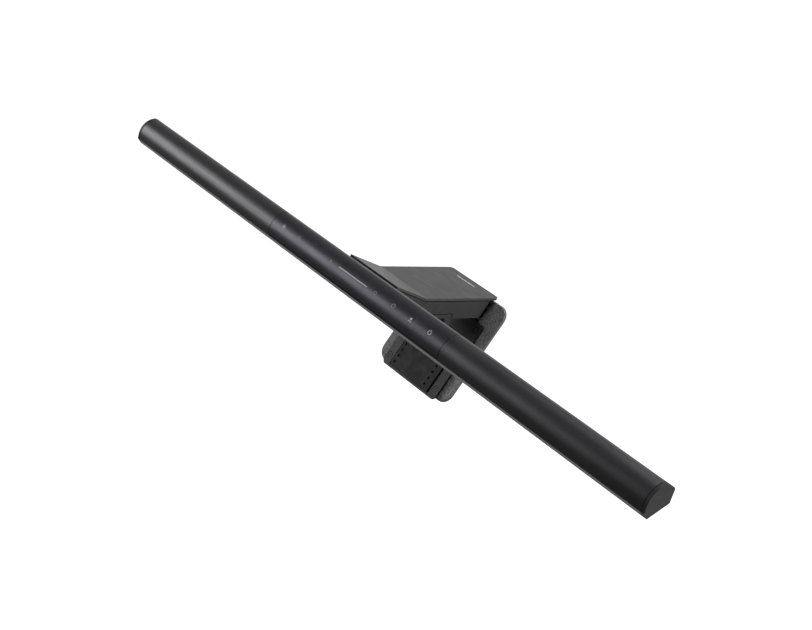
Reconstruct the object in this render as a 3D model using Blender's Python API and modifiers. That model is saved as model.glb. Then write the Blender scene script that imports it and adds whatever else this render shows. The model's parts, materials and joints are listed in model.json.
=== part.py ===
"""Monitor light bar: a long lamp body on a sprung clamp that sits on top of a monitor.

Frame: metres. +X runs along the bar, to the right for a person facing the screen, +Y points
away from that person, +Z is up. The origin is the middle of the seat pad's underside, which
rests on the monitor's top edge.

The lamp body tilts on a friction hinge behind it, and the rear arm swings on a sprung hinge
behind the clamp, so that the monitor is held between the front hook and the arm.
"""
import math

import bmesh
import bpy
from mathutils import Matrix, Vector

MM = 0.001
GAP = 0.3 * MM                       # free space between pieces that touch

# Lamp body. Its outline is given around the bar's own axis as (back, up, corner radius).
BAR_LENGTH = 450 * MM
BAR_AXIS = Vector((0, -68 * MM, 15 * MM))
WALL = 1.2 * MM
CAP_THICKNESS = 2.0 * MM
TIP = (-3.2, -9.75)                  # lowest edge, where the light face starts
HEEL = (9.1, -3.0)                   # rear edge, where the light face ends
REAR = (9.1, 4.72)                   # where the back face and the rear slope of the top would meet
RIDGE = (3.45, 7.58)                 # highest line, between the two slopes of the top
BROW = (-6.9, 5.2)                   # where the front slope of the top and the front would meet
CHIN = (-6.5, -6.6)                  # front edge of the narrow face above the tip
BAR_CORNERS = (TIP + (0.6,), HEEL + (1.0,), REAR + (1.8,), RIDGE + (4.4,), BROW + (10.8,), CHIN + (0.8,))
FRONT_MIDDLE = (-5.2, 2.15)          # on the curved front, behind the touch symbols
FRONT_SLOPE = math.radians(60)
PANEL_X = (-73 * MM, 81 * MM)         # ends of the touch panel, which sits a little to the right
PANEL_WINDOW = ((-12.0, -6.0), (0.0, -6.0), (4.6, 4.6), (11.0, 6.9), (11.0, 14.0), (-12.0, 14.0))

# Light face, measured along the face from the tip (u) and inwards from it (d).
DIFFUSER_U = (1.7, 12.2)
DIFFUSER_D = (0.2, 1.7)
LED_BOARD_U = (3.5, 8.3)
LED_BOARD_D = (3.0, 3.8)
LED_COUNT = 28
LED_SIZE = (3.0, 2.8, 0.9)
LIP = 1.4

# Electronics and inlet, measured up the back face from the heel (t) and inwards from it (d).
INLET_X = 96 * MM
INLET_T = 4.2
INLET_SIZE = (8.9, 3.2, 6.8)
INLET_WALL = 0.35
DRIVER_X = (82.0, 138.0)
CHIP_X = (114.0, 124.0)

# Tilt hinge, in bar coordinates (back, up).
TILT_AXIS = (15.0, -4.0)
TILT_PIN_RADIUS = 1.5 * MM
KNUCKLE_RADIUS = 3.4 * MM
KNUCKLE_HALF = 17.0 * MM
NECK_HALF = 14.0 * MM
NECK_END = (6.6, 0.35)
NECK_THICK = 2.2
LEAF_T = (2.0, 6.6)
LEAF_HALF = 30.0 * MM
LEAF_SCREW_T = 4.2
LEAF_SCREW_X = 26.0 * MM

# Clamp, in the object's own frame (back, up).
CLAMP_HALF = 21.35 * MM
CLAMP_WALL = 2.25 * MM
PLATE_TOP = 12.9
PLATE_THICK = 1.5
PLATE_BEND = -32.7
PLATE_REAR = 22.2
WING_EDGE = (-56.6, 20.05)
SEAT_LEVEL = 0.7                     # underside of the housing beside the seat pad
SEAT_HALF_DEPTH = 9.0
HOOK_FACE = -9.7                     # inner face of the hook's pad
HOOK_DROP = -10.0
FLANGE_LEVEL = 0.9                   # underside of the hook's flange
HOOK_SCREW_Y = -19.2
PIN_CLEARANCE = 0.3 * MM

# Rear arm: a slab that leans in under the clamp. Its own frame has x along the bar, y out of
# its back and z up along the slab, with the origin on its hinge. The slab's back is domed:
# each ring of it is (inset from the outline, distance behind the front face). LUG_SLOT is the
# (back, up) outline of the slots that clear the housing's lugs when the arm is fully open.
ARM_LEAN = math.radians(24.6)
ARM_AXIS = Vector((0, 20.54 * MM, 0.10 * MM))
ARM_FACE = 3.0                       # front face, in front of the hinge
ARM_TOP = 9.4
ARM_BOTTOM = -54.6
ARM_HALF = 32.2
ARM_CORNER = 7.0
ARM_DOME = ((0.6, 0.0), (0.0, 0.6), (0.0, 1.4), (0.8, 2.2), (4.0, 4.9), (8.0, 7.0), (13.0, 8.4), (20.0, 9.2))
CAVITY_FOOT = 9.5                      # the hollow starts this far above the arm's foot, under the full dome
PANEL_PROUD = 2.0
PANEL_HALF = 24.4
PANEL_TOP = -6.0
PANEL_BOTTOM = -56.2
PAD_HALF = 17.3
PAD_SPAN = (-54.6, -22.0)
ARM_PIN_RADIUS = 1.5 * MM
ARM_PIN_HALF = 23.0 * MM
LUG_X = (11.5, 15.5)
LUG_RADIUS = 2.8
LUG_SLOT = ((-5.0, 0.0), (0.6, 0.0), (0.6, 3.0), (-2.4, 10.6), (-5.0, 10.6))
BAY_HALF = 18.0
SPRING_TURNS = 6
SPRING_RADIUS = 2.4 * MM
SPRING_WIRE = 0.4 * MM
SPRING_X = (1.2, 10.3)

COLOURS = {                          # colour, roughness, metallic
    "anodised": ((0.045, 0.046, 0.050), 0.42, 0.6),
    "touch_cover": ((0.040, 0.041, 0.048), 0.30, 0.1),
    "cap": ((0.020, 0.020, 0.021), 0.45, 0.0),
    "diffuser": ((0.80, 0.80, 0.78), 0.50, 0.0),
    "white": ((0.75, 0.75, 0.73), 0.45, 0.0),
    "board": ((0.02, 0.10, 0.05), 0.50, 0.0),
    "steel": ((0.45, 0.45, 0.46), 0.30, 1.0),
    "black_steel": ((0.030, 0.030, 0.031), 0.45, 0.4),
    "plate": ((0.120, 0.120, 0.118), 0.48, 0.3),
    "shell": ((0.038, 0.038, 0.040), 0.55, 0.0),
    "grained": ((0.060, 0.060, 0.061), 0.75, 0.0),
    "rubber": ((0.018, 0.020, 0.024), 0.60, 0.0),
}


def clear_scene():
    for old in list(bpy.data.objects):
        bpy.data.objects.remove(old, do_unlink=True)


def collection(name):
    made = bpy.data.collections.new(name)
    bpy.context.scene.collection.children.link(made)
    return made


def material(name):
    made = bpy.data.materials.get(name)
    if made is None:
        made = bpy.data.materials.new(name)
        made.use_nodes = True
        colour, roughness, metallic = COLOURS[name]
        shader = made.node_tree.nodes["Principled BSDF"]
        shader.inputs["Base Color"].default_value = (*colour, 1.0)
        shader.inputs["Roughness"].default_value = roughness
        shader.inputs["Metallic"].default_value = metallic
    return made


clear_scene()
PARTS = collection("monitor_light_bar")
CUTTERS = collection("cutters")


# ---------------------------------------------------------------- outlines
def rounded(corners, step=math.radians(12)):
    """Closed outline through (a, b, radius) corners, with each corner turned into an arc."""
    outline = []
    for i, (a, b, radius) in enumerate(corners):
        here = Vector((a, b))
        before = (Vector(corners[i - 1][:2]) - here).normalized()
        after = (Vector(corners[(i + 1) % len(corners)][:2]) - here).normalized()
        if radius <= 0:
            outline.append((a, b))
            continue
        half = before.angle(after) / 2
        centre = here + (before + after).normalized() * radius / math.sin(half)
        start = here + before * radius / math.tan(half) - centre
        end = here + after * radius / math.tan(half) - centre
        sweep = start.angle_signed(end)
        count = max(2, math.ceil(abs(sweep) / step))
        for k in range(count + 1):
            turned = start.copy()
            turned.rotate(Matrix.Rotation(-sweep * k / count, 2))
            outline.append(tuple(centre + turned))
    return outline


def box_outline(low_a, low_b, high_a, high_b, radius=0.0):
    return rounded([(low_a, low_b, radius), (high_a, low_b, radius),
                    (high_a, high_b, radius), (low_a, high_b, radius)])


def offset_inwards(outline, distance):
    """Closed outline moved towards its inside by a distance (outline runs anticlockwise)."""
    moved = []
    for i, point in enumerate(outline):
        here = Vector(point)
        into = (here - Vector(outline[i - 1])).normalized()
        out = (Vector(outline[(i + 1) % len(outline)]) - here).normalized()
        normal = Vector((-into.y - out.y, into.x + out.x)).normalized()
        reach = distance / max(0.3, normal.dot(Vector((-into.y, into.x))))
        moved.append(tuple(here + normal * reach))
    return moved


def inset_corners(corners, distance):
    """The corners of a convex outline moved inwards by a distance, with their arcs kept concentric."""
    moved = []
    for i, (a, b, radius) in enumerate(corners):
        here = Vector((a, b))
        before = (Vector(corners[i - 1][:2]) - here).normalized()
        after = (Vector(corners[(i + 1) % len(corners)][:2]) - here).normalized()
        half = before.angle(after) / 2
        inner = here + (before + after).normalized() * distance / math.sin(half)
        moved.append((inner.x, inner.y, max(radius - distance, 0.3)))
    return moved


def band(start, end, thickness):
    """Four corners of a straight strip between two points."""
    a, b = Vector(start), Vector(end)
    side = (b - a).orthogonal().normalized() * thickness / 2
    return [tuple(a - side), tuple(b - side), tuple(b + side), tuple(a + side)]


def bar_to_frame(points):
    """Bar coordinates (back, up) in millimetres to the object's (back, up)."""
    return [(a + BAR_AXIS.y / MM, b + BAR_AXIS.z / MM) for a, b in points]


def face_point(origin, along, inwards, u, d):
    return (origin[0] + along[0] * u + inwards[0] * d, origin[1] + along[1] * u + inwards[1] * d)


LIGHT_ALONG = (Vector(HEEL) - Vector(TIP)).normalized()
LIGHT_IN = Vector((-LIGHT_ALONG.y, LIGHT_ALONG.x))
BACK_ALONG = (Vector(REAR) - Vector(HEEL)).normalized()
BACK_IN = Vector((-BACK_ALONG.y, BACK_ALONG.x))
FRONT_ALONG = Vector((math.cos(FRONT_SLOPE), math.sin(FRONT_SLOPE)))
FRONT_IN = Vector((FRONT_ALONG.y, -FRONT_ALONG.x))


def on_light_face(u, d):
    return face_point(TIP, LIGHT_ALONG, LIGHT_IN, u, d)


def on_back_face(t, d):
    return face_point(HEEL, BACK_ALONG, BACK_IN, t, d)


def on_front_face(t, d):
    return face_point(FRONT_MIDDLE, FRONT_ALONG, FRONT_IN, t, d)


def face_box(on_face, span, depth):
    """Side outline of a block whose sides follow one of the bar's faces."""
    (low, high), (near, far) = span, depth
    return bar_to_frame([on_face(low, near), on_face(high, near), on_face(high, far), on_face(low, far)])


# ---------------------------------------------------------------- solids
def finish(obj, look, home):
    for owner in list(obj.users_collection):
        owner.objects.unlink(obj)
    home.objects.link(obj)
    if home is CUTTERS:
        obj.hide_render = True
        obj.display_type = "WIRE"
        return obj
    obj.data.materials.clear()
    obj.data.materials.append(material(look))
    return obj


def prism(name, outline, low_x, high_x, look="steel", home=None):
    """Side outline (back, up) in millimetres, extruded along the bar from low_x to high_x."""
    curve = bpy.data.curves.new(name, "CURVE")
    curve.dimensions = "2D"
    curve.fill_mode = "BOTH"
    curve.extrude = (high_x - low_x) / 2
    spline = curve.splines.new("POLY")
    spline.points.add(len(outline) - 1)
    for point, (a, b) in zip(spline.points, outline):
        point.co = (a * MM, b * MM, 0, 1)
    spline.use_cyclic_u = True
    drawn = bpy.data.objects.new(name + "_outline", curve)
    bpy.context.scene.collection.objects.link(drawn)
    mesh = bpy.data.meshes.new_from_object(drawn.evaluated_get(bpy.context.evaluated_depsgraph_get()))
    bpy.data.objects.remove(drawn)
    mesh.transform(Matrix(((0, 0, 1, (low_x + high_x) / 2), (1, 0, 0, 0), (0, 1, 0, 0), (0, 0, 0, 1))))
    weld(mesh)
    mesh.name = name
    return finish(bpy.data.objects.new(name, mesh), look, home or PARTS)


def weld(mesh):
    shape = bmesh.new()
    shape.from_mesh(mesh)
    bmesh.ops.remove_doubles(shape, verts=shape.verts, dist=0.000005)
    bmesh.ops.recalc_face_normals(shape, faces=shape.faces)
    shape.to_mesh(mesh)
    shape.free()


def cylinder(name, radius, start, end, look="steel", home=None, sides=24, end_radius=None):
    """Round bar or cone from one point to another, in metres."""
    axis = Vector(end) - Vector(start)
    shape = bmesh.new()
    bmesh.ops.create_cone(shape, cap_ends=True, segments=sides, radius1=radius,
                          radius2=radius if end_radius is None else end_radius, depth=axis.length)
    mesh = bpy.data.meshes.new(name)
    shape.to_mesh(mesh)
    shape.free()
    obj = finish(bpy.data.objects.new(name, mesh), look, home or PARTS)
    obj.rotation_mode = "QUATERNION"
    obj.rotation_quaternion = axis.to_track_quat("Z", "Y")
    obj.location = (Vector(start) + Vector(end)) / 2
    mesh.shade_smooth()
    mesh.set_sharp_from_angle(angle=math.radians(40))
    return obj


def ring(name, outer, inner, low_x, high_x, axis_y, axis_z, look):
    """Flat washer on an axis along X: its section turned by a Screw modifier."""
    half = (high_x - low_x) / 2
    section = ((outer, half), (outer, -half), (inner, -half), (inner, half))
    shape = bmesh.new()
    corners = [shape.verts.new((radius, 0, along)) for radius, along in section]
    for i in range(len(corners)):
        shape.edges.new((corners[i], corners[(i + 1) % len(corners)]))
    mesh = bpy.data.meshes.new(name)
    shape.to_mesh(mesh)
    shape.free()
    obj = finish(bpy.data.objects.new(name, mesh), look, PARTS)
    turn = obj.modifiers.new("turn", "SCREW")
    turn.steps = turn.render_steps = 28
    turn.use_merge_vertices = True
    turn.merge_threshold = 0.00001
    turn.use_smooth_shade = False
    obj.rotation_euler = (0, math.pi / 2, 0)
    obj.location = ((low_x + high_x) / 2, axis_y, axis_z)
    return obj


def boolean(target, tool, kind="DIFFERENCE"):
    step = target.modifiers.new(kind.lower(), "BOOLEAN")
    step.operation = kind
    step.object = tool
    step.solver = "EXACT"
    return target


def cut(target, *tools):
    for tool in tools:
        boolean(target, tool)


def join(target, *tools):
    for tool in tools:
        boolean(target, tool, "UNION")


def soften(obj, width, segments=2, angle=50):
    edge = obj.modifiers.new("soften", "BEVEL")
    edge.width = width
    edge.segments = segments
    edge.limit_method = "ANGLE"
    edge.angle_limit = math.radians(angle)
    edge.harden_normals = False


def tool_prism(name, outline, low_x, high_x):
    return prism(name, outline, low_x, high_x, home=CUTTERS)


def tool_cylinder(name, radius, start, end, sides=24, end_radius=None):
    return cylinder(name, radius, start, end, home=CUTTERS, sides=sides, end_radius=end_radius)


# ---------------------------------------------------------------- lamp body
def bar_outline(inset=0.0):
    corners = inset_corners(BAR_CORNERS, inset) if inset else BAR_CORNERS
    return rounded(corners, step=math.radians(9))


def add_bar_body():
    half = BAR_LENGTH / 2 - CAP_THICKNESS - GAP
    outer, inner = bar_outline(), bar_outline(WALL / MM)
    mouth = [on_light_face(LIP, -1.0), on_light_face(DIFFUSER_U[1] + 0.3, -1.0),
             on_light_face(DIFFUSER_U[1] + 0.3, 2.5), on_light_face(LIP, 2.5)]

    housing = prism("bar_housing", bar_to_frame(outer), -half, half, "anodised")
    core = tool_prism("bar_core", bar_to_frame(inner), -half - 5 * MM, half + 5 * MM)
    opening = tool_prism("bar_mouth", bar_to_frame(mouth), -half - 5 * MM, half + 5 * MM)
    window = tool_prism("panel_window", bar_to_frame(PANEL_WINDOW),
                        PANEL_X[0] - GAP, PANEL_X[1] + GAP)
    neck_hole = tool_prism("neck_hole", bar_to_frame(band((11.5, -2.2), (4.6, 1.4), NECK_THICK + 0.9)),
                           -NECK_HALF - 0.4 * MM, NECK_HALF + 0.4 * MM)
    cut(housing, core, opening, window, neck_hole, inlet_cutter())
    for side in (-1, 1):
        cut(housing, leaf_screw_hole("housing_screw_hole", side, 1.35 * MM))

    inset = offset_inwards(PANEL_WINDOW, GAP / MM)
    panel = prism("touch_panel", bar_to_frame(outer), *PANEL_X, "touch_cover")
    cut(panel, core)
    boolean(panel, tool_prism("panel_shape", bar_to_frame(inset), -half, half), "INTERSECT")

    prism("diffuser", face_box(on_light_face, DIFFUSER_U, DIFFUSER_D), -half, half, "diffuser")


def add_light_engine():
    half = BAR_LENGTH / 2 - 8 * MM
    board = prism("led_board", face_box(on_light_face, LED_BOARD_U, LED_BOARD_D), -half, half, "white")
    middle_u = sum(LED_BOARD_U) / 2
    length, width, height = LED_SIZE
    led = tool_prism("led", face_box(on_light_face, (middle_u - width / 2, middle_u + width / 2),
                                      (LED_BOARD_D[0] - height + 0.2, LED_BOARD_D[0] + 0.2)),
                     -half + 5 * MM, -half + (5 + length) * MM)
    row = led.modifiers.new("row", "ARRAY")
    row.count = LED_COUNT
    row.use_relative_offset = False
    row.use_constant_offset = True
    row.constant_offset_displace = ((2 * half - (10 + length) * MM) / (LED_COUNT - 1), 0, 0)
    row.use_merge_vertices = False
    join(board, led)

    slope = [on_light_face(1.9, 2.0), on_light_face(2.6, 2.0), on_light_face(3.5, 5.2),
             on_light_face(2.8, 5.2)]
    prism("reflector", bar_to_frame(slope), -half, half, "white")


def add_electronics():
    prism("touch_board", face_box(on_front_face, (-2.7, 2.7), (2.1, 2.9)),
          PANEL_X[0] + 3 * MM, PANEL_X[1] - 3 * MM, "board")

    below_inlet = INLET_T - INLET_SIZE[1] / 2 - GAP / MM
    board = face_box(on_back_face, (below_inlet - 0.8, below_inlet), (1.6, 5.2))
    driver = prism("driver_board", board, DRIVER_X[0] * MM, DRIVER_X[1] * MM, "board")
    package = face_box(on_back_face, (below_inlet - 0.2, below_inlet + 1.4), (2.0, 4.8))
    chip = tool_prism("driver_chip", package, CHIP_X[0] * MM, CHIP_X[1] * MM)
    join(driver, chip)

    width, height, depth = INLET_SIZE
    tall = (INLET_T - height / 2, INLET_T + height / 2)
    socket = prism("usb_c_socket", face_box(on_back_face, tall, (0.25, depth)),
                   INLET_X - width / 2 * MM, INLET_X + width / 2 * MM, "steel")
    boolean(socket, rounded_slot("socket_outer", width / 2, height / 2, -2.0, depth + 2.0), "INTERSECT")
    cut(socket, rounded_slot("socket_mouth", width / 2 - INLET_WALL, height / 2 - INLET_WALL,
                             -2.0, depth - 0.8))
    tongue = tool_prism("socket_tongue",
                        face_box(on_back_face, (INLET_T - 0.35, INLET_T + 0.35), (0.9, depth - 0.5)),
                        INLET_X - 3.2 * MM, INLET_X + 3.2 * MM)
    join(socket, tongue)


def rounded_slot(name, half_width, half_height, low_d, high_d):
    """Stadium-shaped cutter through the back face, on the inlet's axis."""
    ends = box_outline(-half_width, -half_height, half_width, half_height, half_height * 0.98)
    slot = tool_prism(name, ends, low_d * MM, high_d * MM)
    along = Vector((0, *BACK_ALONG))
    inwards = Vector((0, *BACK_IN))
    across = Vector((1, 0, 0))
    start = on_back_face(INLET_T, 0)
    place = Matrix((inwards, across, along)).transposed().to_4x4()
    place.translation = BAR_AXIS + Vector((INLET_X, start[0] * MM, start[1] * MM))
    slot.matrix_world = place
    return slot


def inlet_cutter():
    width, height, _ = INLET_SIZE
    clear = GAP / MM
    return rounded_slot("inlet_hole", width / 2 + clear, height / 2 + clear, -2.0, 3.0)


def leaf_screw_hole(name, side, radius):
    outside = on_back_face(LEAF_SCREW_T, -3.0)
    inside = on_back_face(LEAF_SCREW_T, 5.0)
    base = BAR_AXIS + Vector((side * LEAF_SCREW_X, 0, 0))
    return tool_cylinder(name, radius, base + Vector((0, outside[0], outside[1])) * MM,
                         base + Vector((0, inside[0], inside[1])) * MM, sides=16)


def add_bar_bracket():
    pivot = BAR_AXIS + Vector((0, TILT_AXIS[0] * MM, TILT_AXIS[1] * MM))
    along = Vector((KNUCKLE_HALF, 0, 0))
    bracket = cylinder("bar_bracket", KNUCKLE_RADIUS, pivot - along, pivot + along, "black_steel", sides=32)
    neck = tool_prism("bracket_neck", bar_to_frame(band(TILT_AXIS, NECK_END, NECK_THICK)),
                      -NECK_HALF, NECK_HALF)
    leaf = tool_prism("bracket_leaf", face_box(on_back_face, LEAF_T, (1.5, 2.7)), -LEAF_HALF, LEAF_HALF)
    join(bracket, neck, leaf)
    bore = TILT_PIN_RADIUS + PIN_CLEARANCE
    cut(bracket, tool_cylinder("tilt_bore", bore, pivot - along * 2, pivot + along * 2))
    for side in (-1, 1):
        cut(bracket, leaf_screw_hole("leaf_screw_hole", side, 1.25 * MM))
        add_leaf_screw("bracket_screw_" + ("left" if side < 0 else "right"), side)


def add_leaf_screw(name, side):
    """Pan-head screw through the back wall into the hinge leaf."""
    seat = on_back_face(LEAF_SCREW_T, -GAP / MM)
    base = BAR_AXIS + Vector((side * LEAF_SCREW_X, seat[0] * MM, seat[1] * MM))
    add_screw(name, base, Vector((0, *BACK_IN)), 2.3 * MM, 0.9 * MM, 0.95 * MM, 3.6 * MM)


def add_screw(name, seat, direction, head_radius, head_height, shank_radius, shank_length):
    """Screw whose head stands on seat and whose shank runs along direction, with a cross recess."""
    screw = cylinder(name, head_radius, seat - direction * head_height, seat, "black_steel", sides=20)
    shank = tool_cylinder(name + "_shank", shank_radius, seat - direction * head_height / 2,
                          seat + direction * shank_length, sides=16)
    join(screw, shank)
    side = direction.orthogonal().normalized()
    for k, turned in enumerate((side, direction.cross(side))):
        top = seat - direction * head_height
        reach = turned * head_radius * 0.6
        cut(screw, tool_cylinder(f"{name}_slot_{k}", 0.28 * MM, top - reach, top + reach, sides=6))
    return screw


def add_end_caps():
    outer = bar_to_frame(bar_outline())
    plug = bar_to_frame(bar_outline(2.0))
    end = BAR_LENGTH / 2
    for name, side in (("left_end_cap", -1), ("right_end_cap", 1)):
        spans = sorted((side * (end - CAP_THICKNESS), side * end))
        inside = sorted((side * (end - CAP_THICKNESS - 4 * MM), side * (end - CAP_THICKNESS / 2)))
        cap = prism(name, outer, *spans, "cap")
        join(cap, tool_prism(name + "_plug", plug, *inside))


# ---------------------------------------------------------------- clamp
def wing_underside(back, drop):
    """Height of a line parallel to the wing, the given distance under its top surface."""
    slope = (WING_EDGE[1] - PLATE_TOP) / (PLATE_BEND - WING_EDGE[0])
    return PLATE_TOP - drop / math.cos(math.atan(slope)) + (PLATE_BEND - back) * slope


def add_top_plate():
    thick = PLATE_THICK
    under = PLATE_TOP - thick
    outline = rounded([
        (WING_EDGE[0], wing_underside(WING_EDGE[0], thick), 0.4), (PLATE_BEND, under, 6.0),
        (PLATE_REAR, under, 0.5), (PLATE_REAR, PLATE_TOP, 0.5), (PLATE_BEND, PLATE_TOP, 6.0),
        (WING_EDGE[0], WING_EDGE[1], 0.3)])
    plate = prism("top_plate", outline, -CLAMP_HALF, CLAMP_HALF, "plate")
    rail_half = CLAMP_HALF - CLAMP_WALL - GAP
    for side in (-1, 1):
        rail = sorted((side * rail_half, side * (rail_half - 1.6 * MM)))
        join(plate, tool_prism("plate_rail", box_outline(-26, under - 3.2, 9, under + 0.3), *rail))
        corner = tool_prism("plate_corner", box_outline(-3, -3, 3, 3), -8 * MM, 8 * MM)
        corner.rotation_euler = (0, math.radians(90), math.radians(45))
        corner.location = (side * (CLAMP_HALF + 1.15 * MM), (PLATE_REAR + 1.15) * MM, under * MM)
        cut(plate, corner)


def add_clamp_housing():
    roof = PLATE_TOP - PLATE_THICK - GAP / MM
    front = -54.6
    outline = rounded([
        (front, wing_underside(front, PLATE_THICK + GAP / MM), 0.5), (-57.3, 13.4, 2.5), (-57.0, 6.9, 3.6),
        (-24.0, 3.7, 3.0), (-10.2, 3.7, 0.0), (-10.2, SEAT_LEVEL, 0.4), (10.9, SEAT_LEVEL, 0.6),
        (15.3, roof, 0.3), (PLATE_BEND, roof, 6.0)])
    housing = prism("clamp_housing", outline, -CLAMP_HALF, CLAMP_HALF, "shell")

    inner = CLAMP_HALF - CLAMP_WALL
    room = [(-62, 0), (-46.5, 0), (-46.5, 8.4), (-24, 6.2), (8.2, 4.2), (12.6, 20), (12.6, 26), (-62, 26)]
    cut(housing, tool_prism("clamp_room", room, -inner, inner))
    recess = box_outline(-SEAT_HALF_DEPTH - 0.3, -1.0, SEAT_HALF_DEPTH + 0.3, 1.6)
    cut(housing, tool_prism("seat_recess", recess, -18.3 * MM, 18.3 * MM))

    hinge = (ARM_AXIS.y / MM, ARM_AXIS.z / MM)
    for side in (-1, 1):
        span = sorted((side * LUG_X[0] * MM, side * LUG_X[1] * MM))
        lug = rounded([(9.6, 1.6, 0.0), (13.0, 0.5, 4.0), (hinge[0] - 0.5, hinge[1] - LUG_RADIUS, 2.0),
                       (hinge[0] + LUG_RADIUS, hinge[1] - LUG_RADIUS, 2.7),
                       (hinge[0] + LUG_RADIUS, hinge[1] + LUG_RADIUS, 2.7),
                       (hinge[0] - 0.8, hinge[1] + LUG_RADIUS, 2.0), (13.4, 9.6, 0.6), (9.6, 9.6, 0.0)])
        join(housing, tool_prism("hinge_lug", lug, *span))
    wide = Vector((CLAMP_HALF * 2, 0, 0))
    tilt = BAR_AXIS + Vector((0, TILT_AXIS[0] * MM, TILT_AXIS[1] * MM))
    cut(housing, tool_cylinder("cheek_bore", TILT_PIN_RADIUS + PIN_CLEARANCE, tilt - wide, tilt + wide))
    lug_reach = Vector((18 * MM, 0, 0))
    cut(housing, tool_cylinder("lug_bore", ARM_PIN_RADIUS + PIN_CLEARANCE,
                               ARM_AXIS - lug_reach, ARM_AXIS + lug_reach))
    for side in (-1, 1):
        cut(housing, hook_screw_hole("housing_hook_hole", side, 1.2 * MM))


def hook_screw_hole(name, side, radius):
    base = Vector((side * 12 * MM, HOOK_SCREW_Y * MM, 0))
    return tool_cylinder(name, radius, base - Vector((0, 0, 4 * MM)), base + Vector((0, 0, 7.5 * MM)),
                         sides=16)


def add_front_hook():
    hook = prism("front_hook", rounded([
        (-23.9, 3.4, 0.0), (-23.9, FLANGE_LEVEL, 0.6), (-14.9, FLANGE_LEVEL, 1.5), (-14.3, HOOK_DROP, 1.2),
        (-10.6, HOOK_DROP, 1.2), (-10.6, 3.4, 0.0)]), -CLAMP_HALF, CLAMP_HALF, "shell")
    recess = box_outline(-11.0, -8.6, -9.0, 0.2)
    cut(hook, tool_prism("hook_pad_recess", recess, -18.3 * MM, 18.3 * MM))
    for side in (-1, 1):
        cut(hook, hook_screw_hole("hook_hole", side, 1.35 * MM))
        seat = Vector((side * 12 * MM, HOOK_SCREW_Y * MM, (FLANGE_LEVEL - 0.3) * MM))
        add_screw("hook_screw_" + ("left" if side < 0 else "right"), seat, Vector((0, 0, 1)),
                  2.1 * MM, 1.0 * MM, 0.85 * MM, 5.0 * MM)
    prism("hook_pad", box_outline(-10.7, -8.3, HOOK_FACE, -0.1, 0.3), -18 * MM, 18 * MM, "rubber")


def add_seat_pad():
    pad = box_outline(-SEAT_HALF_DEPTH, 0.0, SEAT_HALF_DEPTH, 1.3, 0.2)
    prism("seat_pad", pad, -18 * MM, 18 * MM, "rubber")


def add_tilt_hinge():
    pivot = BAR_AXIS + Vector((0, TILT_AXIS[0] * MM, TILT_AXIS[1] * MM))
    reach = Vector((CLAMP_HALF - 0.4 * MM, 0, 0))
    pin = cylinder("tilt_pin", TILT_PIN_RADIUS, pivot - reach, pivot + reach, "black_steel")
    soften(pin, 0.25 * MM, 1)
    inner = CLAMP_HALF - CLAMP_WALL
    for name, side in (("friction_washer_left", -1), ("friction_washer_right", 1)):
        span = sorted((side * (KNUCKLE_HALF + GAP), side * (inner - GAP)))
        ring(name, 3.6 * MM, TILT_PIN_RADIUS + PIN_CLEARANCE, *span, pivot.y, pivot.z, "black_steel")


# ---------------------------------------------------------------- rear arm
def arm_frame():
    """Empty on the arm's hinge, turned so that its z runs up the leaning slab."""
    hinge = bpy.data.objects.new("arm_hinge", None)
    hinge.location = ARM_AXIS
    hinge.rotation_euler = (-ARM_LEAN, 0, 0)
    hinge.empty_display_size = 10 * MM
    PARTS.objects.link(hinge)
    return hinge


def hang(piece, hinge):
    piece.parent = hinge
    return piece


def slab(name, outline, front, back, look="steel", home=None):
    """Outline (x, up) in the arm's frame, as a plate between two depths behind the hinge line."""
    plate = prism(name, outline, front * MM, back * MM, look, home)
    plate.data.transform(Matrix(((0, 1, 0, 0), (1, 0, 0, 0), (0, 0, 1, 0), (0, 0, 0, 1))))
    plate.data.flip_normals()
    return plate


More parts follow.
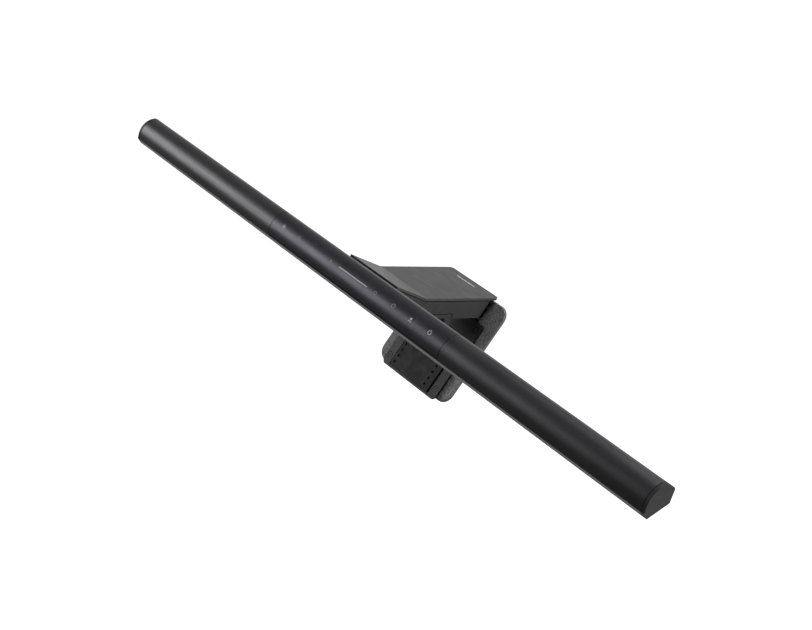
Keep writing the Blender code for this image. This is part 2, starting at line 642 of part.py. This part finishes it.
def add_arm_shell(hinge):
    shape = bmesh.new()
    rings = []
    for inset, behind in ARM_DOME:
        outline = box_outline(-ARM_HALF + inset, ARM_BOTTOM + inset, ARM_HALF - inset, ARM_TOP - inset,
                              max(ARM_CORNER - inset * 0.55, 1.0))
        rings.append([shape.verts.new((x * MM, (behind - ARM_FACE) * MM, up * MM)) for x, up in outline])
    loops = [[shape.edges.new((ring[i - 1], ring[i])) for i in range(len(ring))] for ring in rings]
    for near, far in zip(loops, loops[1:]):
        bmesh.ops.bridge_loops(shape, edges=near + far)
    shape.faces.new(rings[0])
    shape.faces.new(rings[-1])
    bmesh.ops.recalc_face_normals(shape, faces=shape.faces)
    mesh = bpy.data.meshes.new("arm_shell")
    shape.to_mesh(mesh)
    shape.free()
    mesh.shade_smooth()
    mesh.set_sharp_from_angle(angle=math.radians(40))
    shell = hang(finish(bpy.data.objects.new("arm_shell", mesh), "grained", PARTS), hinge)

    cavity = box_outline(-17.6, ARM_BOTTOM + CAVITY_FOOT, 17.6, PANEL_TOP - 2.6, 3.0)
    bay = box_outline(-BAY_HALF, PANEL_TOP - 1.0, BAY_HALF, ARM_TOP - 2.2, 1.0)
    cut(shell, hang(slab("arm_cavity", cavity, -ARM_FACE - 2, 3.0, home=CUTTERS), hinge),
        hang(slab("arm_bay", bay, -ARM_FACE - 2, -0.2, home=CUTTERS), hinge),
        hang(tool_cylinder("spring_bay", (LUG_RADIUS + 0.4) * MM, (-BAY_HALF * MM, 0, 0),
                           (BAY_HALF * MM, 0, 0), sides=28), hinge),
        hang(tool_cylinder("arm_bore", ARM_PIN_RADIUS + PIN_CLEARANCE, (-ARM_PIN_HALF - GAP, 0, 0),
                           (ARM_PIN_HALF + GAP, 0, 0)), hinge))
    for side in (-1, 1):
        low, high = sorted((side * (LUG_X[0] - 0.4) * MM, side * (LUG_X[1] + 0.4) * MM))
        cut(shell, hang(tool_prism("lug_slot", LUG_SLOT, low, high), hinge))
    for k, (x, up) in enumerate(arm_screw_places()):
        cut(shell, hang(tool_cylinder(f"shell_screw_{k}", 0.95 * MM, (x * MM, -5 * MM, up * MM),
                                      (x * MM, 1.5 * MM, up * MM), sides=16), hinge))


def arm_screw_places():
    return [(side * 21.4, up) for up in (-50.0, -10.0) for side in (-1, 1)]


def add_arm_panel(hinge):
    front = -ARM_FACE - PANEL_PROUD
    outline = rounded([(-PANEL_HALF + 2.2, PANEL_BOTTOM, 0.8), (PANEL_HALF - 2.2, PANEL_BOTTOM, 0.8),
                       (PANEL_HALF, PANEL_BOTTOM + 2.2, 0.8), (PANEL_HALF, PANEL_TOP, 1.0),
                       (-PANEL_HALF, PANEL_TOP, 1.0), (-PANEL_HALF, PANEL_BOTTOM + 2.2, 0.8)])
    panel = hang(slab("arm_panel", outline, front, -ARM_FACE - 0.3, "shell"), hinge)
    low, high = PAD_SPAN
    recess = box_outline(-PAD_HALF - 1.0, low - 0.3, PAD_HALF + 1.0, high + 0.3, 0.8)
    cut(panel, hang(slab("pad_recess", recess, front - 2, front + 0.7, home=CUTTERS), hinge))
    for k, (x, up) in enumerate(arm_screw_places()):
        cut(panel, hang(tool_cylinder(f"panel_screw_{k}", 1.2 * MM, (x * MM, (front - 2) * MM, up * MM),
                                      (x * MM, 0, up * MM), sides=16), hinge),
            hang(tool_cylinder(f"panel_head_{k}", 1.9 * MM, (x * MM, (front - 2) * MM, up * MM),
                               (x * MM, (front + 0.9) * MM, up * MM), sides=20), hinge))
        seat = Vector((x * MM, (front + 0.6) * MM, up * MM))
        screw = add_screw(f"arm_screw_{k + 1}", seat, Vector((0, 1, 0)), 1.6 * MM, 0.5 * MM,
                          0.65 * MM, 4.0 * MM)
        hang_with_tools(screw, hinge)


def hang_with_tools(piece, hinge):
    """Hang a piece on the hinge together with the cutters of its modifiers."""
    hang(piece, hinge)
    for step in piece.modifiers:
        if step.type == "BOOLEAN":
            hang(step.object, hinge)


def add_grip_pad(hinge):
    low, high = PAD_SPAN
    front = -ARM_FACE - PANEL_PROUD
    pad = hang(slab("grip_pad", box_outline(-PAD_HALF, low, PAD_HALF, high, 0.6), front - 0.7, front + 0.4,
                    "rubber"), hinge)
    for side in (-1, 1):
        span = sorted((side * 12.4, side * 15.8))
        groove = slab("pad_groove", box_outline(span[0], low + 2.4, span[1], low + 3.9, 0.3),
                      front - 2, front - 0.15, home=CUTTERS)
        rows = groove.modifiers.new("rows", "ARRAY")
        rows.count = 7
        rows.use_relative_offset = False
        rows.use_constant_offset = True
        rows.constant_offset_displace = (0, 0, 4.0 * MM)
        rows.use_merge_vertices = False
        cut(pad, hang(groove, hinge))


def add_counterweight(hinge):
    hang(slab("counterweight", box_outline(-16.6, ARM_BOTTOM + CAVITY_FOOT + 1, 16.6, PANEL_TOP - 3.6, 2.6),
              -ARM_FACE + 0.5, 2.6, "steel"), hinge)


def add_arm_hinge(hinge):
    pin = cylinder("arm_pin", ARM_PIN_RADIUS, (-ARM_PIN_HALF, 0, 0), (ARM_PIN_HALF, 0, 0), "steel")
    soften(hang(pin, hinge), 0.25 * MM, 1)
    for name, side in (("torsion_spring_left", -1), ("torsion_spring_right", 1)):
        hang(torsion_spring(name, side), hinge)


def torsion_spring(name, side):
    """Coil round the arm's pin with a short leg at each end, drawn as one wire."""
    curve = bpy.data.curves.new(name, "CURVE")
    curve.dimensions = "3D"
    curve.bevel_depth = SPRING_WIRE
    curve.bevel_resolution = 2
    curve.use_fill_caps = True
    per_turn = 14
    count = SPRING_TURNS * per_turn
    low, high = (limit * MM for limit in SPRING_X)
    points = [(side * low, -SPRING_RADIUS, -4.2 * MM)]
    for k in range(count + 1):
        angle = 2 * math.pi * k / per_turn
        points.append((side * (low + (high - low) * k / count), -SPRING_RADIUS * math.cos(angle),
                       SPRING_RADIUS * math.sin(angle)))
    points.append((side * high, -SPRING_RADIUS, 4.2 * MM))
    spline = curve.splines.new("POLY")
    spline.points.add(len(points) - 1)
    for point, place in zip(spline.points, points):
        point.co = (*place, 1)
    return finish(bpy.data.objects.new(name, curve), "steel", PARTS)


def build():
    add_bar_body()
    add_light_engine()
    add_electronics()
    add_bar_bracket()
    add_end_caps()
    add_top_plate()
    add_clamp_housing()
    add_front_hook()
    add_seat_pad()
    add_tilt_hinge()
    hinge = arm_frame()
    add_arm_shell(hinge)
    add_arm_panel(hinge)
    add_grip_pad(hinge)
    add_counterweight(hinge)
    add_arm_hinge(hinge)


build()
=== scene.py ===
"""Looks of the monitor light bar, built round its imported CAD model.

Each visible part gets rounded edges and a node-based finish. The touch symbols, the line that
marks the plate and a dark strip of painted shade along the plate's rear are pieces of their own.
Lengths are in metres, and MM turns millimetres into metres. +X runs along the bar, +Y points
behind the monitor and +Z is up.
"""
import json
import math

import bmesh
import bpy
from mathutils import Matrix, Vector
from mathutils.bvhtree import BVHTree

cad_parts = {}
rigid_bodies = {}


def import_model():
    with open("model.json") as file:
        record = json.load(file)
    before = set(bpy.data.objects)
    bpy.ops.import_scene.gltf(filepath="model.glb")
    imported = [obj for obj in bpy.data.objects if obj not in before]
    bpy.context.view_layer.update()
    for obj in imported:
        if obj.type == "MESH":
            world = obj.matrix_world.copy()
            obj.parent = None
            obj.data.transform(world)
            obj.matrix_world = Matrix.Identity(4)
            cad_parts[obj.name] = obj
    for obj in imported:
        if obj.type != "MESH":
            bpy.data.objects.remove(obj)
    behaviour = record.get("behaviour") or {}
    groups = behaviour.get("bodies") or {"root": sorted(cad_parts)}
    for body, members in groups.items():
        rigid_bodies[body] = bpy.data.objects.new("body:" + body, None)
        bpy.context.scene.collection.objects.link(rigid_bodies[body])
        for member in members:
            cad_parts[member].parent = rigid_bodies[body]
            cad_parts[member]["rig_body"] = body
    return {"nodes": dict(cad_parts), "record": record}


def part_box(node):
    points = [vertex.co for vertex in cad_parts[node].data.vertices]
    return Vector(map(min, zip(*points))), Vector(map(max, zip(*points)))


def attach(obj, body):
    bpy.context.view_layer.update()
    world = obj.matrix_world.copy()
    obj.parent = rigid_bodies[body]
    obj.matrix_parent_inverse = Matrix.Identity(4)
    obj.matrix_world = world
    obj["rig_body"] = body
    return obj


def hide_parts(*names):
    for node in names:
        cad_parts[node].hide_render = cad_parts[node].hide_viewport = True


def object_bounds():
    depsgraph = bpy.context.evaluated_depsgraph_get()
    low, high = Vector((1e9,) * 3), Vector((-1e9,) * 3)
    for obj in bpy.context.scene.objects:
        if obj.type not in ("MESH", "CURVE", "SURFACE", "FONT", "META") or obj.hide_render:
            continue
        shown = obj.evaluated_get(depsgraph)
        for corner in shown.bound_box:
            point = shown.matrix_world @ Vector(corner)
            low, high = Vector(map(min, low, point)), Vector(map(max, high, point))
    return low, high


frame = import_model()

MM = 0.001
CAD_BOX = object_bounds()

# Camera: where it looks from, and how far it is turned about its own axis.
AIM = Vector((13.5, -36.8, -0.4)) * MM
DISTANCE = 0.8
AZIMUTH = math.radians(45.2)
ELEVATION = math.radians(19.64)
ROLL = math.radians(17.29)
LENS = 65.48
SENSOR = 36.0

# Studio: the floor lies well below the lamp, which a monitor would hold up.
FLOOR_DROP = 0.75
FLOOR_HALF = 40.0
AMBIENT = 0.09                       # light from all round
BACKDROP = 1.0                       # light from behind the lamp, as the camera sees it
BACKDROP_SIDE = Vector((-0.69, 0.69, -0.15))
BACKDROP_FADE = (0.45, 0.95)         # how nearly a direction matches that side, none to all of it
FLOOR_GLOW = 0.30                    # light from below
FLOOR_FADE = (-0.4, -0.85)           # how far down a direction points, none to all of it
SOFTBOXES = (                        # name, place, aim, width, height, power
    ("key_box", (-1.48, -0.90, 0.31), (-0.10, -0.07, 0.0), 0.9, 0.75, 15),
    ("top_box", (0.2, 0.3, 1.6), (0, -0.03, 0), 1.2, 1.2, 29),
    ("side_box", (1.3, 0.5, -0.3), (0, 0, 0), 0.9, 0.9, 10),
)

# Edge rounding of the finished copies of CAD nodes: node, radius in millimetres.
EDGE_RADIUS = {
    "bar_housing": 0.12, "touch_panel": 0.10, "left_end_cap": 0.35, "right_end_cap": 0.35,
    "top_plate": 0.22, "clamp_housing": 0.30, "front_hook": 0.35, "arm_shell": 0.25,
    "arm_panel": 0.30, "hook_pad": 0.25, "seat_pad": 0.25, "bar_bracket": 0.18,
}
BEVEL_ANGLE = math.radians(35)       # edges sharper than this are rounded
SHARP_ANGLE = math.radians(30)       # edges sharper than this stay sharp where nothing is rounded
WELD = 0.002 * MM                    # corners closer than this are one corner
FLAT_ANGLE = math.radians(0.5)       # faces that differ by less than this are one face
END_LOOP = 0.9 * MM                  # how far inside each end the extra loop lies
RAY_START = 0.2                      # rays start this far in front of the place they aim at
PROUD = 0.03 * MM                    # height of the printed marks and the painted-shade strip above the surface
SYMBOL_DEPTH = 0.36                  # how far down the touch cover the symbols are, as a share
SYMBOL_SCALE = 1.3
SLIDER_X = 3.2 * MM
SLIDER_HALF = 12.7
SLIDER_WIDTH = 0.5
MARK_X = -1.2 * MM
MARK_FROM_REAR = 6.6 * MM
MARK_HALF = 7.8
MARK_WIDTH = 0.8
REAR_SHADE_WIDTH = 1.3 * MM                      # width of the painted-shade strip along the plate's rear


# ---------------------------------------------------------------- materials
def fill_range(span, start, end, low, high):
    for key, value in (("From Min", start), ("From Max", end), ("To Min", low), ("To Max", high)):
        span.inputs[key].default_value = value


class Finish:
    """A Principled material whose variation comes from noise in the part's own frame."""

    def __init__(self, name, roughness, metallic=0.0):
        self.material = bpy.data.materials.new(name)
        self.material.use_nodes = True
        self.tree = self.material.node_tree
        self.shader = self.tree.nodes["Principled BSDF"]
        self.shader.inputs["Metallic"].default_value = metallic
        self.shader.inputs["Roughness"].default_value = roughness
        self.place = self.node("ShaderNodeTexCoord").outputs["Object"]
        self.normal = None

    def node(self, kind, **values):
        made = self.tree.nodes.new(kind)
        for key, value in values.items():
            setattr(made, key, value)
        return made

    def link(self, source, target):
        self.tree.links.new(source, target)

    def scaled(self, size):
        """Coordinates in which one unit is size millimetres, or a size for each axis."""
        mapping = self.node("ShaderNodeMapping")
        sizes = size if isinstance(size, tuple) else (size, size, size)
        mapping.inputs["Scale"].default_value = [1 / (s * MM) for s in sizes]
        self.link(self.place, mapping.inputs["Vector"])
        return mapping.outputs["Vector"]

    def noise(self, size, detail=3.0):
        texture = self.node("ShaderNodeTexNoise")
        texture.inputs["Scale"].default_value = 1.0
        texture.inputs["Detail"].default_value = detail
        self.link(self.scaled(size), texture.inputs["Vector"])
        return texture.outputs["Fac"]

    def cells(self, size):
        texture = self.node("ShaderNodeTexVoronoi", feature="SMOOTH_F1")
        texture.inputs["Scale"].default_value = 1.0
        self.link(self.scaled(size), texture.inputs["Vector"])
        return texture.outputs["Distance"]

    def ranged(self, source, low, high, start=0.3, end=0.7):
        span = self.node("ShaderNodeMapRange")
        fill_range(span, start, end, low, high)
        self.link(source, span.inputs["Value"])
        return span.outputs["Result"]

    def colour(self, source, dark, light, start=0.3, end=0.7):
        mix = self.node("ShaderNodeMix", data_type="RGBA")
        mix.inputs["A"].default_value = (*dark, 1.0)
        mix.inputs["B"].default_value = (*light, 1.0)
        self.link(self.ranged(source, 0.0, 1.0, start, end), mix.inputs["Factor"])
        self.link(mix.outputs["Result"], self.shader.inputs["Base Color"])
        return self

    def roughness(self, source, low, high):
        self.link(self.ranged(source, low, high), self.shader.inputs["Roughness"])
        return self

    def bump(self, source, height, strength=1.0):
        """Raise the surface by up to height millimetres. Bumps add up in the order they are given."""
        bump = self.node("ShaderNodeBump")
        bump.inputs["Strength"].default_value = strength
        bump.inputs["Distance"].default_value = height * MM
        self.link(source, bump.inputs["Height"])
        if self.normal:
            self.link(self.normal, bump.inputs["Normal"])
        self.normal = bump.outputs["Normal"]
        self.link(self.normal, self.shader.inputs["Normal"])
        return self

    def set(self, **values):
        for key, value in values.items():
            self.shader.inputs[key.replace("_", " ")].default_value = value
        return self


def grey(value, blue=0.0):
    return (value, value, value * (1 + blue))


def make_finishes():
    made = {}

    anodised = Finish("anodised", 0.40, metallic=0.75)
    drawn = anodised.noise((60, 0.35, 0.35), detail=2)
    blast = anodised.noise(0.35)
    anodised.colour(anodised.noise((25, 6, 6)), grey(0.050, 0.06), grey(0.060, 0.06))
    anodised.roughness(drawn, 0.38, 0.44)
    anodised.bump(drawn, 0.004).bump(blast, 0.006)
    made["anodised"] = anodised

    cover = Finish("touch_cover", 0.38, metallic=0.75)
    cover.colour(cover.noise((30, 8, 8)), grey(0.047, 0.18), grey(0.056, 0.18))
    cover.roughness(cover.noise(9), 0.36, 0.42)
    cover.bump(cover.noise(0.3), 0.004)
    made["touch_cover"] = cover

    cap = Finish("cap", 0.5)
    cap.set(Specular_IOR_Level=0.25)
    cap.colour(cap.noise(4), grey(0.021), grey(0.028))
    cap.roughness(cap.noise(6), 0.45, 0.55)
    cap.bump(cap.noise(0.25), 0.006)
    made["cap"] = cap

    plate = Finish("plate", 0.45, metallic=0.35)
    plate.colour(plate.noise(7), grey(0.040, -0.01), grey(0.047, -0.01))
    plate.roughness(plate.noise((14, 3, 14)), 0.42, 0.50)
    plate.bump(plate.noise(0.22), 0.008)
    made["plate"] = plate

    shell = Finish("shell", 0.52)
    shell.set(Specular_IOR_Level=0.4)
    shell.colour(shell.noise(5), grey(0.010), grey(0.015))
    shell.roughness(shell.noise(8), 0.48, 0.58)
    shell.bump(shell.noise(0.28), 0.010)
    made["shell"] = shell

    grained = Finish("grained", 0.62)
    pebble = grained.cells(0.85)
    grained.colour(pebble, grey(0.275), grey(0.088), start=0.15, end=0.75)
    grained.roughness(grained.noise(5), 0.55, 0.70)
    grained.bump(pebble, 0.09, strength=0.8).bump(grained.noise(0.25), 0.02)
    made["grained"] = grained

    rubber = Finish("rubber", 0.52)
    rubber.set(Specular_IOR_Level=0.18)
    rubber.colour(rubber.noise(6), grey(0.004, 0.35), grey(0.008, 0.35))
    rubber.roughness(rubber.noise(5), 0.42, 0.55)
    rubber.bump(rubber.noise(0.4), 0.008)
    made["rubber"] = rubber

    steel = Finish("steel", 0.32, metallic=1.0)
    steel.colour(steel.noise((0.5, 5, 5)), grey(0.36), grey(0.46))
    steel.roughness(steel.noise((0.3, 3, 3)), 0.26, 0.38)
    steel.bump(steel.noise((0.2, 4, 4)), 0.003)
    made["steel"] = steel

    black = Finish("black_steel", 0.45, metallic=0.4)
    black.colour(black.noise(2), grey(0.020), grey(0.032))
    black.roughness(black.noise(1.5), 0.40, 0.55)
    black.bump(black.noise(0.3), 0.004)
    made["black_steel"] = black

    diffuser = Finish("diffuser", 0.45)
    diffuser.colour(diffuser.noise((40, 3, 3)), (0.78, 0.78, 0.76), (0.84, 0.84, 0.82))
    diffuser.roughness(diffuser.noise(6), 0.40, 0.50)
    diffuser.bump(diffuser.noise((30, 0.4, 0.4)), 0.012)
    made["diffuser"] = diffuser

    white = Finish("white", 0.5)
    white.colour(white.noise(3), (0.72, 0.72, 0.70), (0.80, 0.80, 0.78))
    white.bump(white.noise(0.3), 0.004)
    made["white"] = white

    board = Finish("board", 0.45)
    board.colour(board.noise((3, 0.6, 0.6)), (0.012, 0.075, 0.035), (0.022, 0.12, 0.055))
    board.bump(board.noise((2.0, 0.5, 0.5)), 0.02)
    made["board"] = board

    ink = Finish("ink", 0.5)
    ink.colour(ink.noise(0.8), grey(0.42, 0.03), grey(0.56, 0.03))
    ink.bump(ink.noise(0.2), 0.002)
    made["ink"] = ink

    faint = Finish("faint_ink", 0.5)
    faint.colour(faint.noise(0.8), grey(0.13, 0.10), grey(0.19, 0.10))
    faint.bump(faint.noise(0.2), 0.002)
    made["faint_ink"] = faint
    return {name: finish.material for name, finish in made.items()}


# ---------------------------------------------------------------- pieces
def node_slots():
    return {row["node"]: row["material_slot"] for row in frame["record"]["subparts"]}


def body_of(node):
    return frame["nodes"][node]["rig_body"]


def add_piece(name, mesh, look, body):
    piece = bpy.data.objects.new(name, mesh)
    bpy.context.scene.collection.objects.link(piece)
    mesh.materials.clear()
    mesh.materials.append(LOOKS[look])
    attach(piece, body)
    return piece


def to_mesh(shape, name):
    mesh = bpy.data.meshes.new(name)
    shape.to_mesh(mesh)
    shape.free()
    return mesh


def merged_shape(node):
    """A copy of a node's shape with its flat faces merged."""
    shape = bmesh.new()
    shape.from_mesh(frame["nodes"][node].data)
    bmesh.ops.remove_doubles(shape, verts=shape.verts, dist=WELD)
    bmesh.ops.dissolve_limit(shape, angle_limit=FLAT_ANGLE, verts=shape.verts, edges=shape.edges)
    return shape


def slice_shape(shape, place, normal, clear_inner=False):
    return bmesh.ops.bisect_plane(shape, geom=shape.verts[:] + shape.edges[:] + shape.faces[:],
                                  plane_co=place, plane_no=normal, clear_inner=clear_inner)


def finish_node(node, radius):
    """Stand a copy of a CAD node, with rounded edges, in its place.

    A loop just inside each end keeps the rounding there from tilting the shading of the long faces.
    """
    shape = merged_shape(node)
    low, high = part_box(node)
    for x in (low.x + END_LOOP, high.x - END_LOOP):
        slice_shape(shape, (x, 0, 0), (1, 0, 0))
    mesh = to_mesh(shape, node + "_finished")
    slot = SLOTS[node]
    piece = add_piece(node + "_finished", mesh, slot, body_of(node))
    edges = piece.modifiers.new("edges", "BEVEL")
    edges.width = radius * MM
    edges.segments = 3
    edges.limit_method = "ANGLE"
    edges.angle_limit = BEVEL_ANGLE
    even = piece.modifiers.new("even_normals", "WEIGHTED_NORMAL")
    even.mode = "FACE_AREA"
    even.weight = 60
    mesh.shade_smooth()
    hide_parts(node)


def smooth_node(node):
    mesh = frame["nodes"][node].data
    mesh.shade_smooth()
    mesh.set_sharp_from_angle(angle=SHARP_ANGLE)


class Surface:
    """Rays onto one CAD node, to lay a thin piece on it."""

    def __init__(self, node, direction):
        mesh = frame["nodes"][node].data
        self.tree = BVHTree.FromPolygons([v.co for v in mesh.vertices],
                                         [p.vertices for p in mesh.polygons])
        self.direction = Vector(direction).normalized()

    def hit(self, point):
        place, normal, _, _ = self.tree.ray_cast(Vector(point) - self.direction * RAY_START,
                                                self.direction)
        return place, normal


def lay_on(surface, centre, outlines, name, look, body):
    """Thin printed shapes laid on a surface. Outlines are (across, up the surface) in millimetres."""
    place, normal = surface.hit(centre)
    up = normal.cross(Vector((1, 0, 0))).normalized()
    if up.z < 0:
        up = -up
    across = Vector((1, 0, 0))
    shape = bmesh.new()
    for outline in outlines:
        corners = []
        for a, b in outline:
            spot = place + (across * a + up * b) * MM
            landed, facing = surface.hit(spot)
            corners.append(shape.verts.new(landed + facing * PROUD))
        face = shape.faces.new(corners)
        face.normal_update()
        if face.normal.dot(normal) < 0:
            face.normal_flip()
    add_piece(name, to_mesh(shape, name), look, body)


def disc(radius, sides=20):
    angles = [2 * math.pi * i / sides for i in range(sides)]
    return [(radius * math.cos(t), radius * math.sin(t)) for t in angles]


def arc(radius, width, start=0.0, end=360.0, steps=24):
    """A ring, or part of one, as a row of four-sided outlines."""
    inner, outer = radius - width / 2, radius + width / 2
    strips = []
    for i in range(steps):
        t, u = (math.radians(start + (end - start) * k / steps) for k in (i, i + 1))
        strips.append([(r * math.cos(a), r * math.sin(a))
                       for r, a in ((inner, t), (outer, t), (outer, u), (inner, u))])
    return strips


def stroke(start, end, width):
    a, b = Vector(start), Vector(end)
    side = (b - a).orthogonal().normalized() * width / 2
    return [tuple(a - side), tuple(b - side), tuple(b + side), tuple(a + side)]


def sun(core, near, far, width):
    rays = []
    for k in range(8):
        turn = math.radians(45 * k)
        toward = Vector((math.cos(turn), math.sin(turn)))
        rays.append(stroke(toward * near, toward * far, width))
    return [disc(core)] + rays


def add_touch_symbols():
    """Generic symbols printed along the touch cover, on either side of a slider line."""
    low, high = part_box("touch_panel")
    surface = Surface("touch_panel", (0, 1, 0))
    level = high.z - (high.z - low.z) * SYMBOL_DEPTH
    symbols = (
        ("symbol_bright", -63.0, sun(0.45, 0.8, 1.25, 0.26), "ink"),
        ("symbol_dim", -47.5, sun(0.32, 0.6, 0.95, 0.22), "faint_ink"),
        ("symbol_tick", -34.3, [stroke((0, -0.4), (0, 2.0), 0.24)], "ink"),
        ("symbol_warm", -16.8, [disc(0.5)], "faint_ink"),
        ("symbol_cool", 23.4, arc(0.7, 0.3), "faint_ink"),
        ("symbol_auto", 39.0, arc(0.95, 0.34), "faint_ink"),
        ("symbol_memory", 54.0, [disc(0.6), stroke((-1.0, -1.1), (1.0, -1.1), 0.26)], "ink"),
        ("symbol_power", 69.3, arc(0.9, 0.3, 125, 415) + [stroke((0, 0.3), (0, 1.25), 0.3)], "ink"),
    )
    for name, x, outlines, look in symbols:
        larger = [[(a * SYMBOL_SCALE, b * SYMBOL_SCALE) for a, b in outline]
                  for outline in outlines]
        lay_on(surface, (x * MM, 0, level), larger, name, look, "light_bar")
    slider = stroke((-SLIDER_HALF, 0), (SLIDER_HALF, 0), SLIDER_WIDTH)
    lay_on(surface, (SLIDER_X, 0, level), [slider], "symbol_slider", "ink", "light_bar")


def add_plate_mark():
    """A short plain line near the rear of the plate."""
    _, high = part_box("top_plate")
    surface = Surface("top_plate", (0, 0, -1))
    line = stroke((-MARK_HALF, 0), (MARK_HALF, 0), MARK_WIDTH)
    lay_on(surface, (MARK_X, high.y - MARK_FROM_REAR, 0), [line], "plate_mark", "ink", "clamp")


def add_plate_rear_shade():
    """A dark strip along the plate's rear, a hair proud of the plate, painting the shade that falls
    there.
    """
    _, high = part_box("top_plate")
    shape = merged_shape("top_plate")
    sliced = slice_shape(shape, (0, high.y - REAR_SHADE_WIDTH, 0), (0, 1, 0), clear_inner=True)
    rim = [item for item in sliced["geom_cut"] if isinstance(item, bmesh.types.BMEdge)]
    bmesh.ops.contextual_create(shape, geom=rim)
    bmesh.ops.recalc_face_normals(shape, faces=shape.faces)
    for vert in shape.verts:
        vert.co += vert.normal * PROUD
    # painted shade: a near-black strip stands for the shade along the plate's rear edge
    add_piece("plate_rear_shade", to_mesh(shape, "plate_rear_shade"), "cap", "clamp")


# ---------------------------------------------------------------- studio
def add_camera():
    data = bpy.data.cameras.new("camera")
    data.lens = LENS
    data.sensor_width = SENSOR
    data.clip_start = 0.01
    data.clip_end = 200.0
    camera = bpy.data.objects.new("camera", data)
    bpy.context.scene.collection.objects.link(camera)
    turn = (Matrix.Rotation(AZIMUTH, 4, "Z") @ Matrix.Rotation(math.pi / 2 - ELEVATION, 4, "X")
            @ Matrix.Rotation(ROLL, 4, "Z"))
    camera.matrix_world = Matrix.Translation(AIM) @ turn @ Matrix.Translation((0, 0, DISTANCE))
    bpy.context.scene.camera = camera


def add_softbox(name, place, aim, width, height, power):
    data = bpy.data.lights.new(name, "AREA")
    data.shape = "RECTANGLE"
    data.size = width
    data.size_y = height
    data.energy = power
    lamp = bpy.data.objects.new(name, data)
    bpy.context.scene.collection.objects.link(lamp)
    lamp.location = place
    lamp.rotation_euler = (Vector(aim) - Vector(place)).to_track_quat("-Z", "Y").to_euler()


def add_world():
    """White where the camera sees it; for the lamp, dim all round, bright behind it and pale below."""
    world = bpy.data.worlds.new("studio")
    bpy.context.scene.world = world
    world.use_nodes = True
    nodes, links = world.node_tree.nodes, world.node_tree.links
    seen = nodes["Background"]
    seen.inputs["Color"].default_value = (1, 1, 1, 1)
    seen.inputs["Strength"].default_value = 1.0
    around = nodes.new("ShaderNodeBackground")
    around.inputs["Color"].default_value = (1, 1, 1, 1)
    place = nodes.new("ShaderNodeTexCoord")
    facing = nodes.new("ShaderNodeVectorMath")
    facing.operation = "DOT_PRODUCT"
    facing.inputs[1].default_value = BACKDROP_SIDE.normalized()
    links.new(place.outputs["Generated"], facing.inputs[0])
    fade = nodes.new("ShaderNodeMapRange")
    fade.interpolation_type = "SMOOTHSTEP"
    fill_range(fade, *BACKDROP_FADE, AMBIENT, BACKDROP)
    links.new(facing.outputs["Value"], fade.inputs["Value"])
    axes = nodes.new("ShaderNodeSeparateXYZ")
    links.new(place.outputs["Generated"], axes.inputs["Vector"])
    below = nodes.new("ShaderNodeMapRange")
    fill_range(below, *FLOOR_FADE, AMBIENT, FLOOR_GLOW)
    links.new(axes.outputs["Z"], below.inputs["Value"])
    brighter = nodes.new("ShaderNodeMath")
    brighter.operation = "MAXIMUM"
    links.new(fade.outputs["Result"], brighter.inputs[0])
    links.new(below.outputs["Result"], brighter.inputs[1])
    links.new(brighter.outputs["Value"], around.inputs["Strength"])
    path = nodes.new("ShaderNodeLightPath")
    mix = nodes.new("ShaderNodeMixShader")
    links.new(path.outputs["Is Camera Ray"], mix.inputs["Fac"])
    links.new(around.outputs["Background"], mix.inputs[1])
    links.new(seen.outputs["Background"], mix.inputs[2])
    links.new(mix.outputs["Shader"], nodes["World Output"].inputs["Surface"])


def add_floor():
    low, _ = CAD_BOX
    shape = bmesh.new()
    bmesh.ops.create_grid(shape, x_segments=1, y_segments=1, size=FLOOR_HALF)
    mesh = to_mesh(shape, "floor")
    floor = bpy.data.objects.new("floor", mesh)
    bpy.context.scene.collection.objects.link(floor)
    floor.location = (0, 0, low[2] - FLOOR_DROP)
    floor.visible_glossy = False
    floor.visible_diffuse = False
    pale = Finish("floor", 0.9)
    pale.set(Emission_Color=(1, 1, 1, 1), Emission_Strength=0.9)
    pale.colour(pale.noise(900), grey(0.84), grey(0.86))
    mesh.materials.append(pale.material)


SLOTS = node_slots()
LOOKS = make_finishes()
for node, thing in frame["nodes"].items():
    thing.data.materials.clear()
    thing.data.materials.append(LOOKS[SLOTS[node]])
    smooth_node(node)
for node, radius in EDGE_RADIUS.items():
    finish_node(node, radius)
add_touch_symbols()
add_plate_mark()
add_plate_rear_shade()
add_camera()
add_world()
add_floor()
for box in SOFTBOXES:
    add_softbox(*box)
bpy.context.scene.view_settings.view_transform = "Standard"
